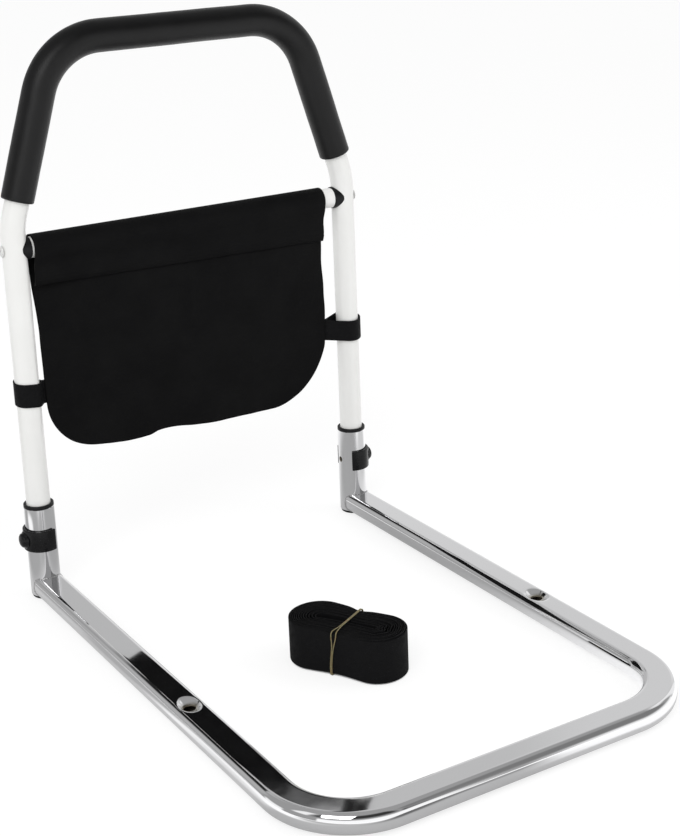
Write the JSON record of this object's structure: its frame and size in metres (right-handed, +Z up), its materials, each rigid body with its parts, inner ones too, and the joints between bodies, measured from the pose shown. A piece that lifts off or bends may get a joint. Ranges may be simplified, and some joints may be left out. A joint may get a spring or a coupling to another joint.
{
  "type": "bed rail",
  "caption": "Bed rail: a bent handrail with foam grip and cloth pocket stands in the sockets of a U-shaped base that slides under a mattress, with its safety strap wound up beside it.",
  "frame": {"origin": "on the floor, under the middle of the bounding box of the whole part", "axes": "+Z up, +X towards the right upright as seen from the front bar, +Y from the front bar towards the uprights"},
  "size_m": [0.4388, 0.6122, 0.602],
  "materials": {
    "chrome": "bright plating",
    "white_paint": "gloss off-white powder coat",
    "white_screw": "satin white",
    "black_plastic": "satin moulded",
    "gloss_black_plastic": "gloss moulded",
    "black_foam": "fine closed-cell foam",
    "black_cloth": "plain-weave cloth",
    "black_webbing": "woven webbing",
    "yellow_rubber": "plain"
  },
  "bodies": {
    "base": {"base_frame": "chrome", "left_socket": "chrome", "right_socket": "chrome", "left_foot_plug": "black_plastic", "right_foot_plug": "black_plastic", "left_bushing": "black_plastic", "right_bushing": "black_plastic"},
    "handrail": {"upper_rail": "white_paint", "foam_grip": "black_foam", "crossbar": "white_paint", "left_saddle_cap": "black_plastic", "right_saddle_cap": "black_plastic", "left_crossbar_screw": "white_screw", "right_crossbar_screw": "white_screw", "left_threaded_insert": "black_plastic", "right_threaded_insert": "black_plastic", "pocket_panel": "black_cloth", "pocket_pouch": "black_cloth", "left_pocket_strap": "black_webbing", "right_pocket_strap": "black_webbing"},
    "left_clip": {"left_locking_clip": "gloss_black_plastic"},
    "right_clip": {"right_locking_clip": "gloss_black_plastic"},
    "strap_bundle": {"safety_strap": "black_webbing", "rubber_band": "yellow_rubber"}
  },
  "joints": [
    {"name": "rail_height", "type": "slide", "parent": "base", "child": "handrail", "axis": [0, 0, 1], "range_m": [0, 0.04]},
    {"name": "left_clip_pull", "type": "slide", "parent": "base", "child": "left_clip", "axis": [-1, 0, 0], "range_m": [0, 0.04], "deforming": ["left_locking_clip"]},
    {"name": "right_clip_pull", "type": "slide", "parent": "base", "child": "right_clip", "axis": [1, 0, 0], "range_m": [0, 0.04], "deforming": ["right_locking_clip"]},
    {"name": "strap_lift", "type": "slide", "parent": "base", "child": "strap_bundle", "axis": [0, 0, 1], "range_m": [0, 0.1]}
  ]
}
